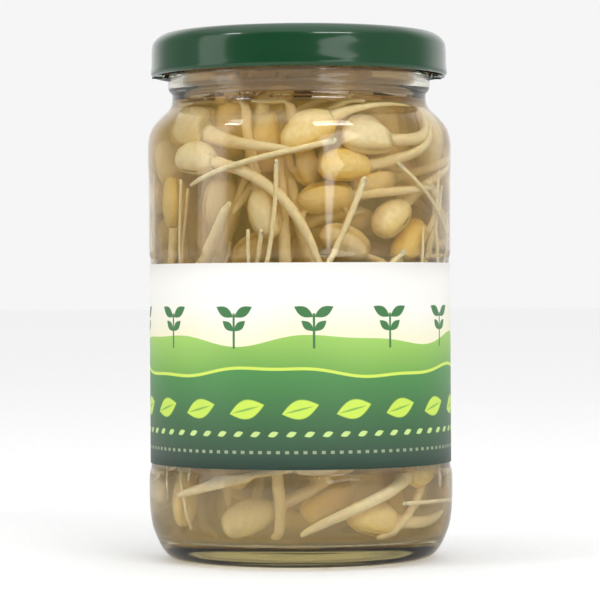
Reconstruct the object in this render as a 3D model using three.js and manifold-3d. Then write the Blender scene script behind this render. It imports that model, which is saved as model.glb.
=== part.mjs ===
// Preserving jar of soybean sprouts in brine, with its twist-off lid and wrap-round label.
//
// Millimetres, +Z up. The origin is the centre of the ring that the jar stands on. Angles round the
// jar are measured from its front, which faces -Y, and grow anticlockwise as seen from above.

import * as THREE from 'three';
import { mergeVertices } from 'three/addons/utils/BufferGeometryUtils.js';
import Module from 'manifold-3d';

const wasm = await Module();
wasm.setup();

// Jar
const BODY_R = 36.1; // the two contact bands, above and below the label
const PANEL_R = 35.6; // the recessed label panel
const UPPER_R = 35.9; // the clear wall above the label
const STAND_R = [27.6, 30.0]; // the ring that the jar stands on
const PANEL_Z = [21.4, 71.4];
const SHOULDER_Z = 98.4; // where the shoulder starts to turn in
const NECK_R = 30.2; // the waist under the neck bead
const BEAD_R = 31.2;
const FINISH_R = 31.0; // the wall that carries the thread
const RIM_Z = 122.8;
const BORE_R = 28.0; // the mouth
const INNER_R = 33.3; // the inside of the body wall
const FLOOR_Z = 5.1; // the inside of the bottom

// Thread and lid
const START_COUNT = 4; // thread starts, and lugs on the lid
const FIRST_LUG = THREE.MathUtils.degToRad(5);
const THREAD_SPAN = THREE.MathUtils.degToRad(62);
const THREAD_PITCH = 1.375; // climb of the thread, for each radian of turn
const THREAD_R = 1.2; // section of a thread ridge
const THREAD_SUNK = 0.6; // how far its centre line stands out of the wall
const LUG = { inner: 31.9, outer: 34.8, width: 8, low: 114.5, high: 115.7 };
const LUG_GAP = 0.3; // between a lug and the ridge above it
const LID_R = 35.1;
const LID_Z = [114.4, 124.5];
const TINPLATE = 0.4;
const LINER_GAP = 0.1;

// Label and brine
const LABEL_Z = [22.8, 69.8];
const LABEL_R = [35.75, 36.0];
const BRINE_Z = 108; // the level in the neck
const BRINE_WALL = 0.6; // the layer of brine kept round the sprouts
const BRINE_GAP = 0.3; // between the brine and the glass
const BRINE_HOLE_R = 9; // the plain hole over the sprouts

// Sprouts
const SEED = 20417;
const BEAN = { length: [11, 13.4], width: [7.4, 8.6], thickness: [6.2, 7.4], groove: 0.82 };
const STALK = { length: [22, 40], radius: [1.15, 1.6], root: 0.42 };
const STALK_SINK = 2.4; // how far a stalk starts inside its bean
const ROOM_R = 32.2; // the space that the sprouts lie in
const ROOM_Z = [6.7, 106.6];
const BEAN_DEPTH = 3.9; // from the edge of that space to the centre of a bean that lies against it
const BEAN_PRESS = 0.3;
const SPROUT_GAP = 0.5;
const BALL_STEP = 1.6;
const SLIDE_STEP = 0.05;

// The sprouts that show best from the front: the angle and height of the bean, the way that the
// stalk leaves it, in degrees, the length of the stalk and how much it rises along its length.
const FRONT_SPROUTS = [
  [-50, 94, -8, 46, -0.9],
  [10, 64, 108, 44, -0.2],
  [-57, 63, 58, 34, -0.6],
  [-6, 61, 91, 30, 0.1],
  [8, 25, 196, 36, 0.1],
  [62, 22, 203, 38, 0.1],
  [16, 25, -8, 38, -0.2],
  [-43, 84, -104, 24, 0.4],
  [-67, 84, -90, 26, 0],
  [-27, 88, 35, 26, 0.4],
  [-81, 93, -80, 28, 0],
  [-24, 73, 32, 26, -0.5],
  [4, 99, 25, 28, -0.5],
  [20, 92, 4, 24, 0.5],
  [45, 95, -35, 34, -0.6],
  [39, 87, 188, 22, 0.3],
  [44, 80, 38, 26, -0.3],
  [16, 76, -18, 28, 0.4],
  [50, 72, 26, 26, 0.3],
  [6, 84, -28, 26, -0.4],
  [79, 98, -88, 34, 0],
  [67, 62, 88, 36, 0.2],
  [-94, 98, -84, 34, 0],
  [-62, 15, 80, 24, 0.1],
  [-28, 11.4, 24, 26, 0.4],
  [16, 15, 32, 24, 0.2],
  [-4, 11.4, 160, 26, 0.6],
  [35, 11.2, -10, 24, 0.4],
  [61, 13, 72, 26, 0.1],
];
const TANGLE_COUNT = 24; // nodes of two sprouts grown through each other, all round the jar
const TANGLE_DEPTH = 9;
const BEHIND_SHARE = 0.72; // of the tangles, on the side away from the front
const CLEAR_SHARE = 0.56; // of the tangles, in the clear glass above the label
const ATTEMPTS = 20;

const RING_SIDES = 36;
const SPROUT_SIDES = 6;
const STALK_STEPS = 4;
const BEAN_RINGS = 4;
const BEAN_NECK = 0.25; // where the first ring of the bean stands out of the stalk

const material = (color, roughness, metalness, opacity = 1) =>
  new THREE.MeshStandardMaterial({ color, roughness, metalness, opacity, transparent: opacity < 1 });

const glassMaterial = material(0xdfe8dc, 0.05, 0, 0.35);
const lidMaterial = material(0x12492f, 0.28, 0.2);
const linerMaterial = material(0xe6e2d6, 0.6, 0);
const labelMaterial = material(0x2f8a4a, 0.5, 0);
const brineMaterial = material(0xc9a860, 0.05, 0, 0.35);
const sproutMaterial = material(0xd9c684, 0.45, 0);

// Solids

function solidOf(geometry) {
  geometry.deleteAttribute('normal');
  geometry.deleteAttribute('uv');
  const welded = mergeVertices(geometry, 1e-4);
  const corners = welded.index.array;
  const triVerts = [];
  for (let i = 0; i < corners.length; i += 3) {
    const [a, b, c] = corners.slice(i, i + 3);
    if (a !== b && b !== c && c !== a) triVerts.push(a, b, c);
  }
  return new wasm.Manifold(new wasm.Mesh({
    numProp: 3,
    vertProperties: new Float32Array(welded.attributes.position.array),
    triVerts: new Uint32Array(triVerts),
  }));
}

function meshOf(name, solid, look) {
  const { vertProperties, triVerts } = solid.getMesh();
  const geometry = new THREE.BufferGeometry();
  geometry.setAttribute('position', new THREE.BufferAttribute(vertProperties, 3));
  geometry.setIndex(new THREE.BufferAttribute(triVerts, 1));
  geometry.computeVertexNormals();
  const mesh = new THREE.Mesh(geometry, look);
  mesh.name = name;
  return mesh;
}

// A profile is a list of [radius, height], up the outside and back down the inside.
function turned(profile) {
  const outline = profile.map(([radius, height]) => new THREE.Vector2(radius, height));
  const geometry = new THREE.LatheGeometry(outline, RING_SIDES);
  return solidOf(geometry.rotateX(Math.PI / 2));
}

const around = (angle, radius, height) =>
  new THREE.Vector3(radius * Math.sin(angle), -radius * Math.cos(angle), height);

// Jar glass

function jarProfile() {
  const heel = [[31.6, 0.7], [33.2, 2.6], [34.6, 5.6], [35.6, 8.4], [BODY_R, 13.2]];
  const shoulder = [[35.7, 100.6], [34.9, 102.5], [33.2, 104.4], [31.4, 106.0], [30.5, 107.3]];
  const innerShoulder = [[27.7, 108.6], [28.8, 106.2], [31.2, 103.4], [32.7, 101.2]];
  const innerHeel = [[32.6, 8.9], [30.6, 6.2], [27.0, FLOOR_Z]];
  return [
    [0, 1.7], [24.5, 1.3], [STAND_R[0], 0], [STAND_R[1], 0],
    ...heel,
    [BODY_R, PANEL_Z[0] - 1], [PANEL_R, PANEL_Z[0]],
    [PANEL_R, PANEL_Z[1]], [UPPER_R, PANEL_Z[1] + 0.9], [UPPER_R, 90.5], [BODY_R, 93],
    [BODY_R, SHOULDER_Z],
    ...shoulder,
    [NECK_R, 108.6], [NECK_R, 110.2], [BEAD_R, 111.2], [BEAD_R, 113.0], [FINISH_R, 113.6],
    [FINISH_R, RIM_Z - 0.7], [FINISH_R - 0.6, RIM_Z], [BORE_R + 0.6, RIM_Z], [BORE_R, RIM_Z - 0.7],
    ...innerShoulder,
    [INNER_R, SHOULDER_Z], [INNER_R, 12],
    ...innerHeel,
    [0, FLOOR_Z + 0.2],
  ];
}

class ThreadPath extends THREE.Curve {
  constructor(start) {
    super();
    this.start = start;
  }

  getPoint(t, target = new THREE.Vector3()) {
    const turn = t * THREAD_SPAN;
    const low = LUG.high + LUG_GAP + THREAD_R;
    return target.copy(around(this.start + turn, FINISH_R + THREAD_SUNK, low + THREAD_PITCH * turn));
  }
}

function threadRidge(start) {
  const section = new THREE.Shape();
  section.absarc(0, 0, THREAD_R, 0, 2 * Math.PI);
  const options = { extrudePath: new ThreadPath(start), steps: 6, curveSegments: 4 };
  return solidOf(new THREE.ExtrudeGeometry(section, options));
}

function jarGlass() {
  let glass = turned(jarProfile());
  for (let i = 0; i < START_COUNT; i += 1) {
    glass = glass.add(threadRidge(FIRST_LUG + (i * 2 * Math.PI) / START_COUNT));
  }
  return meshOf('jar_glass', glass, glassMaterial);
}

// Lid: stepped panel with its safety button, skirt, rolled lower edge and inward lugs

function lidProfile() {
  const [low, high] = LID_Z;
  const panel = high - 1.1;
  const inside = LID_R - TINPLATE;
  return [
    [0, high - 0.8 - TINPLATE], [8, high - 0.9 - TINPLATE], [10.4, panel - TINPLATE],
    [25.1, panel - TINPLATE], [27.5, high - TINPLATE], [31.5, high - TINPLATE],
    [33.8, high - 1.6], [inside, high - 3.3], [inside, low + 2], [34.0, low + 1.1], [34.3, low],
    [34.9, low], [35.4, low + 0.7], [LID_R, low + 2.2],
    [LID_R, high - 3.2], [34.5, high - 1.7], [33.1, high - 0.5], [31.7, high], [27.3, high],
    [24.9, panel], [10.6, panel], [8.2, high - 0.9], [0, high - 0.8],
  ];
}

function lidLug(angle) {
  const { inner, outer, width, low, high } = LUG;
  const box = new THREE.BoxGeometry(width, outer - inner, high - low);
  box.translate(0, -(outer + inner) / 2, (high + low) / 2);
  return solidOf(box.rotateZ(angle));
}

function lid() {
  let cap = turned(lidProfile());
  for (let i = 0; i < START_COUNT; i += 1) {
    cap = cap.add(lidLug(FIRST_LUG + (i * 2 * Math.PI) / START_COUNT));
  }
  return meshOf('lid', cap, lidMaterial);
}

// The soft sealing ring, moulded into the channel of the lid over the rim.
function lidLiner() {
  const low = RIM_Z + LINER_GAP;
  const high = LID_Z[1] - TINPLATE - LINER_GAP;
  const ring = [[28.1, low], [31.2, low], [31.4, high], [27.7, high], [28.1, low]];
  return meshOf('lid_liner', turned(ring), linerMaterial);
}

function label() {
  const [inner, outer] = LABEL_R;
  const [low, high] = LABEL_Z;
  const wrap = [[inner, low], [outer, low], [outer, high], [inner, high], [inner, low]];
  return meshOf('label', turned(wrap), labelMaterial);
}

// Brine: its layer along the wall and floor, and its surface, open over the sprouts.
function brine() {
  const outer = INNER_R - BRINE_GAP;
  const inner = outer - BRINE_WALL;
  const low = FLOOR_Z + BRINE_GAP;
  const profile = [
    [0, low + 0.1], [26.9, low], [30.3, 6.6], [32.3, 9.2], [outer, 12.2],
    [outer, SHOULDER_Z - 0.2], [30.8, 103.2], [27.4, 107.0], [27.2, BRINE_Z], [BRINE_HOLE_R, BRINE_Z],
    [BRINE_HOLE_R, BRINE_Z - BRINE_WALL], [26.8, BRINE_Z - BRINE_WALL], [30.1, 103.0],
    [inner, SHOULDER_Z - 0.5], [inner, 12.4], [31.6, 9.6], [29.9, 7.1], [26.7, low + BRINE_WALL],
    [0, low + BRINE_WALL],
  ];
  return meshOf('brine', turned(profile), brineMaterial);
}

// Sprouts

// A small repeatable number source, so that the sprouts always fall the same way.
let state = SEED;
function draw(low, high) {
  state = (state * 16807) % 2147483647;
  return low + ((high - low) * state) / 2147483647;
}

// How far from the axis the sprouts may reach at a height: less at the heel and the shoulder.
function roomRadius(height) {
  const heel = ROOM_R - 0.55 * Math.max(0, 13.5 - height);
  const shoulder = ROOM_R - 0.72 * Math.max(0, height - 98);
  return Math.min(heel, shoulder);
}

function keptInside(point, radius) {
  point.z = Math.min(Math.max(point.z, ROOM_Z[0] + radius), ROOM_Z[1] - radius);
  const reach = Math.hypot(point.x, point.y);
  const limit = roomRadius(point.z) - radius;
  if (reach > limit) {
    point.x *= limit / reach;
    point.y *= limit / reach;
  }
  return point;
}

// One sprout: its bean's centre, long axis and flat side, and the bending path of its stalk. The lie
// is the way that the stalk leaves the bean, seen from outside: 0 is anticlockwise, 90 is up.
function sproutAt(centre, { lie, length, rise }) {
  const outward = new THREE.Vector3(centre.x, centre.y, 0).normalize();
  const sideways = new THREE.Vector3(-outward.y, outward.x, 0);
  const up = new THREE.Vector3(0, 0, 1);
  const axis = new THREE.Vector3();
  axis.addScaledVector(sideways, Math.cos(THREE.MathUtils.degToRad(lie)));
  axis.addScaledVector(up, Math.sin(THREE.MathUtils.degToRad(lie)));
  axis.addScaledVector(outward, draw(-0.25, 0.1)).normalize();
  const spin = draw(-1.2, 1.2);
  const across = new THREE.Vector3().crossVectors(outward, axis).normalize();
  const flat = new THREE.Vector3().crossVectors(axis, across);
  across.applyAxisAngle(axis, spin);
  flat.applyAxisAngle(axis, spin);

  const size = ['length', 'width', 'thickness'].map((side) => draw(...BEAN[side]) / 2);
  const radius = draw(...STALK.radius);
  const bend = new THREE.Vector3();
  bend.addScaledVector(up, rise);
  bend.addScaledVector(outward, draw(-0.4, 0.4));
  bend.addScaledVector(sideways, draw(-0.4, 0.4));
  return { centre, axis, across, flat, size, radius, length, bend };
}

const stalkRadius = (sprout, t) => {
  const taper = 1 - 0.35 * t - 0.65 * t ** 6;
  return STALK.root + (sprout.radius - STALK.root) * taper;
};

function stalkPoint(sprout, t) {
  const { centre, axis, size, length, bend } = sprout;
  const run = t * length;
  const point = centre.clone().addScaledVector(axis, size[0] - STALK_SINK + run);
  point.addScaledVector(bend, 0.55 * run * t);
  return keptInside(point, stalkRadius(sprout, t));
}

// Balls along the bean and the stalk stand for a sprout while room is sought for it.
function beanBalls({ centre, axis, size }) {
  return [0, -0.5, 0.5].map((place) => ({
    at: centre.clone().addScaledVector(axis, place * size[0]),
    radius: size[1] * (place === 0 ? 1 : 0.86),
  }));
}

function stalkBalls(sprout) {
  const count = Math.ceil(sprout.length / BALL_STEP);
  return Array.from({ length: count + 1 }, (_, i) => ({
    at: stalkPoint(sprout, i / count),
    radius: stalkRadius(sprout, i / count),
  }));
}

const insideRoom = ({ at, radius }) =>
  Math.hypot(at.x, at.y) < roomRadius(at.z) - radius + BEAN_PRESS &&
  at.z > ROOM_Z[0] + radius && at.z < ROOM_Z[1] - radius;

function apart(balls, placed) {
  return balls.every((mine) => placed.every((theirs) => {
    const room = mine.radius + theirs.radius + SPROUT_GAP;
    return mine.at.distanceToSquared(theirs.at) > room * room;
  }));
}

// The balls of a sprout that has room, or nothing.
function fitted(sprout, placed) {
  const bean = beanBalls(sprout);
  if (!bean.every(insideRoom) || !apart(bean, placed)) return null;
  const stalk = stalkBalls(sprout);
  return apart(stalk, placed) ? [...bean, ...stalk] : null;
}

// A sprout seen from the front keeps its place on the glass, and slides inwards until it has room.
function frontSprout([angle, height, lie, length, rise], placed) {
  for (let slide = 0; ; slide += SLIDE_STEP) {
    const depth = BEAN_DEPTH + draw(0, slide);
    const centre = around(THREE.MathUtils.degToRad(angle), roomRadius(height) - depth, height);
    const sprout = sproutAt(centre, { lie, length, rise });
    const balls = fitted(sprout, placed);
    if (balls) {
      placed.push(...balls);
      return [sprout];
    }
  }
}

const anyStalk = () => ({
  lie: draw(-180, 180), length: draw(...STALK.length), rise: draw(-0.9, 0.9),
});

// Two sprouts anywhere in the jar: the bean of the second one sits on the stalk of the first.
function tangle(placed) {
  for (;;) {
    const behind = draw(0, 1) < BEHIND_SHARE;
    const angle = behind ? draw(0.5 * Math.PI, 1.5 * Math.PI) : draw(-0.5 * Math.PI, 0.5 * Math.PI);
    const height = draw(0, 1) < CLEAR_SHARE ? draw(LABEL_Z[1], ROOM_Z[1]) : draw(ROOM_Z[0], LABEL_Z[1]);
    const centre = around(angle, roomRadius(height) - BEAN_DEPTH - draw(0, TANGLE_DEPTH), height);
    const first = sproutAt(centre, anyStalk());
    const balls = fitted(first, placed);
    for (let attempt = 0; balls && attempt < ATTEMPTS; attempt += 1) {
      const second = sproutAt(stalkPoint(first, draw(0.45, 0.85)), anyStalk());
      const more = fitted(second, placed);
      if (more) {
        placed.push(...balls, ...more);
        return [first, second];
      }
    }
  }
}

// A sprout in one piece, turned from root to seed and then bent along its stalk. Its rings run round
// the long axis, and those of the bean dip at the seam where the two seed halves meet.
function sproutSolid(sprout) {
  const profile = [[0, 0]];
  for (let i = 0; i <= STALK_STEPS; i += 1) profile.push([1, i]);
  for (let i = 1; i < BEAN_RINGS; i += 1) profile.push([1, STALK_STEPS + i]);
  profile.push([0, STALK_STEPS + BEAN_RINGS]);
  const outline = profile.map(([radius, ring]) => new THREE.Vector2(radius, ring));
  const geometry = new THREE.LatheGeometry(outline, SPROUT_SIDES);
  const place = geometry.attributes.position;
  for (let i = 0; i < place.count; i += 1) {
    const [x, ring, z] = [place.getX(i), place.getY(i), place.getZ(i)];
    const onBean = ring > STALK_STEPS;
    const point = onBean ? beanPoint(sprout, x, ring, z) : stalkSkin(sprout, x, ring, z);
    place.setXYZ(i, ...point);
  }
  return solidOf(geometry);
}

function beanPoint({ centre, axis, across, flat, size }, x, ring, z) {
  const turn = (Math.PI * (ring - STALK_STEPS - BEAN_NECK)) / (BEAN_RINGS - BEAN_NECK);
  const dip = Math.abs(x) < 1e-6 ? BEAN.groove : 1;
  const point = centre.clone().addScaledVector(axis, Math.cos(turn) * size[0]);
  point.addScaledVector(across, z * dip * Math.sin(turn) * size[1]);
  return point.addScaledVector(flat, -x * Math.sin(turn) * size[2]);
}

function stalkSkin(sprout, x, ring, z) {
  const t = 1 - ring / STALK_STEPS;
  const here = stalkPoint(sprout, t);
  const along = stalkPoint(sprout, t + 0.02).sub(stalkPoint(sprout, t - 0.02)).normalize();
  const side = new THREE.Vector3().crossVectors(sprout.across, along).normalize();
  const top = new THREE.Vector3().crossVectors(along, side);
  const radius = stalkRadius(sprout, t);
  return here.addScaledVector(side, x * radius).addScaledVector(top, z * radius);
}

function sprouts() {
  const placed = [];
  const groups = FRONT_SPROUTS.map((place) => frontSprout(place, placed));
  for (let i = 0; i < TANGLE_COUNT; i += 1) groups.push(tangle(placed));
  return groups.map((group, i) => {
    const solid = group.map(sproutSolid).reduce((whole, next) => whole.add(next));
    return meshOf(`sprouts_${String(i + 1).padStart(2, '0')}`, solid, sproutMaterial);
  });
}

const jar = new THREE.Group();
jar.add(jarGlass(), label(), brine(), lidLiner(), lid(), ...sprouts());

export default jar;
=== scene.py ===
"""Preserving jar of soybean sprouts in brine, with its label and twist-off lid."""

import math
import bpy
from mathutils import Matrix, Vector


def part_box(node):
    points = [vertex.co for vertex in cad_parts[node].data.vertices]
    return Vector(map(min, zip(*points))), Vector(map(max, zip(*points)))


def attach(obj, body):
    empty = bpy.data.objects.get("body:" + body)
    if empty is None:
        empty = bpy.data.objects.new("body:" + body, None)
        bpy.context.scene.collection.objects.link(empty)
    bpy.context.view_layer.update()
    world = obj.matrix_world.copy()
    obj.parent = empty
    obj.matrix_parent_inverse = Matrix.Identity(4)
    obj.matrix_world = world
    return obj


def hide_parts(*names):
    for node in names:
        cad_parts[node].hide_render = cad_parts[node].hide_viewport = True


bl_info = {
    "name": "Jar of Bean Sprouts",
    "version": (1, 0, 0),
    "blender": (4, 5, 0),
    "location": "View3D > Sidebar > Sprout Jar",
    "description": "Builds the glass, lid, label, brine and sprouts of a preserving jar",
    "category": "Add Mesh",
}

import bmesh
import bpy
import numpy as np
from bpy.props import FloatProperty, FloatVectorProperty, IntProperty, PointerProperty
from bpy.types import Operator, Panel, PropertyGroup
from mathutils import Matrix, Vector

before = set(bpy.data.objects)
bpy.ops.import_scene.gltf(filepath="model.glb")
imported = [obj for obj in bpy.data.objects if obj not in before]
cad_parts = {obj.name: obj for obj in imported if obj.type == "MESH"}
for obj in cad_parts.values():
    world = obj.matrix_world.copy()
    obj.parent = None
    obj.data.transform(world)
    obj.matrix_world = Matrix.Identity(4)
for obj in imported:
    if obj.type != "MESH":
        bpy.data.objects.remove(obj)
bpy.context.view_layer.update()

MM = 0.001
TURN = 2 * math.pi

# The jar, in millimetres, as its solids have it
BODY_R = 36.1
PANEL_R = 35.6
UPPER_R = 35.9
STAND_R = (27.6, 30.0)
PANEL_Z = (21.4, 71.4)
SHOULDER_Z = 98.4
NECK_R = 30.2
BEAD_R = 31.2
FINISH_R = 31.0
RIM_Z = 122.8
BORE_R = 28.0
INNER_R = 33.3
FLOOR_Z = 5.1
START_COUNT = 4
FIRST_LUG = math.radians(5)
THREAD_SPAN = math.radians(62)
THREAD_PITCH = 1.375
THREAD_FOOT = 114.0
THREAD_R = 1.2
THREAD_SUNK = 0.6
LUG = {"inner": 31.9, "outer": 34.8, "width": 8, "low": 114.5, "high": 115.7}
LUG_GAP = 0.3
LID_R = 35.1
LID_Z = (114.4, 124.5)
TINPLATE = 0.4
LINER_GAP = 0.1
LABEL_Z = (22.8, 69.8)
LABEL_R = (35.75, 36.0)
LABEL_LIFT = 0.02
SEEDLING_LEAVES = ((34.6, 28, 5.2, 2.4), (31.4, 40, 3.8, 1.9))
BRINE_Z = 108.0
MENISCUS = ((6, -0.5), (2.2, -0.42), (0.9, -0.15), (0.25, 0.25))
CLOUD = {"under": 0.9, "steps": 96}
FILM = {"radius": 27.62, "above": 0.3, "top": 119, "thickness": 0.14, "steps": 128}
BUBBLES_EACH = 5

# The sprouts, placed by the same rule as their solids
SEED = 20417
BEAN = {"length": (11, 13.4), "width": (7.4, 8.6), "thickness": (6.2, 7.4), "groove": 0.82}
STALK = {"length": (22, 40), "radius": (1.15, 1.6), "root": 0.42}
STALK_SINK = 2.4
THREAD_ROOT = {"radius": (0.3, 0.75), "end": 1.6, "press": 0.85}
ROOM_R = 32.2
ROOM_Z = (6.7, 106.6)
ROOM_HEEL = {"top": 13.5, "slope": 0.55}
ROOM_SHOULDER = {"foot": 98, "slope": 0.72}
BEAN_DEPTH = 3.9
BEAN_PRESS = 0.3
SPROUT_GAP = 0.5
BALL_STEP = 1.6
SLIDE_STEP = 0.05
FRONT_SPROUTS = (
    (-50, 94, -8, 46, -0.9),
    (10, 64, 108, 44, -0.2),
    (-57, 63, 58, 34, -0.6),
    (-6, 61, 91, 30, 0.1),
    (8, 25, 196, 36, 0.1),
    (62, 22, 203, 38, 0.1),
    (16, 25, -8, 38, -0.2),
    (-43, 84, -104, 24, 0.4),
    (-67, 84, -90, 26, 0),
    (-27, 88, 35, 26, 0.4),
    (-81, 93, -80, 28, 0),
    (-24, 73, 32, 26, -0.5),
    (4, 99, 25, 28, -0.5),
    (20, 92, 4, 24, 0.5),
    (45, 95, -35, 34, -0.6),
    (39, 87, 188, 22, 0.3),
    (44, 80, 38, 26, -0.3),
    (16, 76, -18, 28, 0.4),
    (50, 72, 26, 26, 0.3),
    (6, 84, -28, 26, -0.4),
    (79, 98, -88, 34, 0),
    (67, 62, 88, 36, 0.2),
    (-94, 98, -84, 34, 0),
    (-62, 15, 80, 24, 0.1),
    (-28, 11.4, 24, 26, 0.4),
    (16, 15, 32, 24, 0.2),
    (-4, 11.4, 160, 26, 0.6),
    (35, 11.2, -10, 24, 0.4),
    (61, 13, 72, 26, 0.1),
)
TANGLE_COUNT = 24
TANGLE_DEPTH = 9
BEHIND_SHARE = 0.72
CLEAR_SHARE = 0.56
ATTEMPTS = 20
LOOSE_ATTEMPTS = 60
BOX_SLACK = 2.0
LAYERS = (
    {"share": 0.42, "gap": -1.3, "depth": (0, 5)},
    {"share": 0.29, "gap": -1.6, "depth": (3, 11)},
    {"share": 0.29, "gap": -1.8, "depth": (8, 18)},
)
LAYER_PRESS = 0.5
TONE_LEAN = 1.6

# Rings along the stalk and along the bean, and faces round the plainer sprouts
FINE_RINGS = (24, 18)
LOOSE_RINGS = (10, 8)
THREAD_RINGS = (26, 4)
PLAIN_SIDES = 8

# Inks of the label, stains of the sprouts, and the painted shade in the seams of their beans
INKS = {
    "sky": (0.84, 0.83, 0.79),
    "low_sky": (0.84, 0.78, 0.34),
    "hill_top": (0.33, 0.58, 0.11),
    "hill_foot": (0.17, 0.39, 0.065),
    "field_top": (0.070, 0.265, 0.065),
    "field_foot": (0.020, 0.050, 0.034),
    "field_edge": (0.60, 0.76, 0.10),
    "seedling": (0.045, 0.19, 0.055),
    "leaf": (0.52, 0.71, 0.075),
    "vein": (0.20, 0.42, 0.06),
    "small_leaf": (0.50, 0.66, 0.22),
    "dot": (0.30, 0.36, 0.22),
}
# Painted shade: a dark brown laid into the groove of each bean's seam
SEAM_SHADE = (0.34, 0.19, 0.05)
HILUM = (0.07, 0.045, 0.03)
MOTTLE = (0.52, 0.33, 0.11)

# The studio: lamps by name, azimuth, elevation, size, power and tilt
LAMPS = (
    ("window_right", 30, 13, (0.50, 0.24), 0.8, 28),
    ("window_left", -70, 15, (0.42, 0.7), 1.1),
    ("flash_right", 30, 42, (0.46, 0.09), 2.0),
    ("flash_left", -60, 42, (0.2, 0.09), 0.9),
)
LAMP_DISTANCE = 1.0
LOW_FILL = {"azimuth": 8, "elevation": 1.5, "size": (0.5, 0.02), "aim": 0.008}
LOW_FILL_SPREAD = math.radians(4)
FLOOR_R = 9
FLOOR_DROP = 0.0004
FLOOR_DIM = 0.985
DARK_AIR = 0.05
DARK_SOFT = 0.1
BEHIND_LOBE = (0.62, 0.3)
ABOVE_LOBE = (0.78, 0.24)
SENSOR = 36
SHIFT = -0.017

BODY = "jar"


# Settings

def a_number(name, description, default, **more):
    return FloatProperty(name=name, description=description, default=default, **more)


def a_length(name, description, default):
    return a_number(name, description, default, unit="LENGTH")


def a_count(name, description, default):
    return IntProperty(name=name, description=description, default=default, min=0)


def a_colour(name, description, default):
    return FloatVectorProperty(
        name=name, description=description, subtype="COLOR", size=3, min=0, max=1, default=default)


class GlassSettings(PropertyGroup):
    steps: IntProperty(
        name="Steps", description="Faces round the jar", default=160, min=24, max=512)
    tint: a_colour("Tint", "Colour of the glass through its depth", (0.70, 0.63, 0.28))
    tint_density: a_number("Tint Density", "Absorption for each metre of glass", 40, min=0)
    ior: a_number("IOR", "Refraction of soda-lime glass", 1.52)


class LidSettings(PropertyGroup):
    lacquer: a_colour("Lacquer", "Colour of the lid outside", (0.004, 0.050, 0.016))
    lining: a_colour("Lining", "Colour of the lid inside", (0.64, 0.45, 0.26))


class LabelSettings(PropertyGroup):
    overlap: a_length("Overlap", "Width of the glued overlap at the back", 8 * MM)
    paper: a_length("Paper", "Thickness of the paper", 0.1 * MM)


class BrineSettings(PropertyGroup):
    ior: a_number("IOR", "Refraction of salted water", 1.34)
    colour: a_colour("Colour", "Colour of the brine through its depth", (0.995, 0.71, 0.02))
    density: a_number("Density", "Absorption for each metre of brine", 42, min=0)
    cloud: a_colour("Cloud", "Colour of the cloud in the brine", (1.0, 0.93, 0.42))
    cloud_density: a_number("Cloud Density", "Scatter for each metre of brine", 48, min=0)
    film: a_colour("Film", "Colour of the film above the brine", (1.0, 0.82, 0.55))
    crumbs: a_count("Crumbs", "Scraps of seed coat at the brine's line", 80)
    bubble_clusters: a_count("Bubble Clusters", "Clusters of small air bubbles", 16)
    reach: a_length("Reach", "How far the brine reaches into the glass", 0.15 * MM)


class SproutSettings(PropertyGroup):
    more: a_count("More Sprouts", "Sprouts tried between those of the solids", 190)
    floating: a_count("Floating Sprouts", "Sprouts that rise out of the brine", 15)
    threads: a_count("Root Threads", "Thin roots that lie along the glass", 56)
    sides: IntProperty(name="Sides", description="Faces round a sprout", default=18, min=3)
    pale: a_colour("Pale Bean", "Colour of the palest seed halves", (0.90, 0.80, 0.56))
    ripe: a_colour("Ripe Bean", "Colour of the yellowest seed halves", (0.90, 0.64, 0.16))
    stalk: a_colour("Stalk", "Colour of stalks and roots", (0.84, 0.72, 0.47))


class StudioSettings(PropertyGroup):
    distance: a_length("Camera Distance", "From the jar's axis", 0.688)
    eye: a_length("Eye Level", "Height of the camera", 0.0636)
    roll: a_number(
        "Roll", "Turn of the camera about its view", math.radians(0.3), subtype="ANGLE")
    lens: a_number("Lens", "Focal length", 173, subtype="DISTANCE_CAMERA")
    floor: a_colour("Floor", "Colour of the floor", (1.0, 1.0, 1.0))
    air: a_number("Air", "Brightness of the white surroundings", 0.92)
    mirrored_air: a_number("Mirrored Air", "Brightness that the jar's sides mirror", 0.34)
    mirrored_floor: a_number(
        "Mirrored Floor", "Share of the floor's light that the jar mirrors", 0.65)
    low_fill: a_number("Low Fill", "Power of the lamp for the window under the label", 0.03)
    dark_azimuth: a_number(
        "Dark Side", "Direction of the room's dark part", math.radians(-9), subtype="ANGLE")
    dark_width: a_number(
        "Dark Width", "Width of the room's dark part", math.radians(94), subtype="ANGLE")


SETTINGS = {
    "jar_glass": GlassSettings,
    "jar_lid": LidSettings,
    "jar_label": LabelSettings,
    "jar_brine": BrineSettings,
    "jar_sprouts": SproutSettings,
    "jar_studio": StudioSettings,
}


# Meshes

def around(angle, radius, height):
    """A place round the jar, in metres: 0 is the front, and angles grow anticlockwise."""
    return Vector((radius * math.sin(angle), -radius * math.cos(angle), height)) * MM


def between(low, high, count):
    """Evenly spread values from low to high, both left out."""
    return [low + (high - low) * i / (count + 1) for i in range(1, count + 1)]


def softened(profile, rounds=2):
    """The profile with its corners cut and cut again, and its two ends kept."""
    for _ in range(rounds):
        cut = [profile[0]]
        for (r0, z0), (r1, z1) in zip(profile, profile[1:]):
            cut.append((0.75 * r0 + 0.25 * r1, 0.75 * z0 + 0.25 * z1))
            cut.append((0.25 * r0 + 0.75 * r1, 0.25 * z0 + 0.75 * z1))
        profile = cut + [profile[-1]]
    return profile


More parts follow.
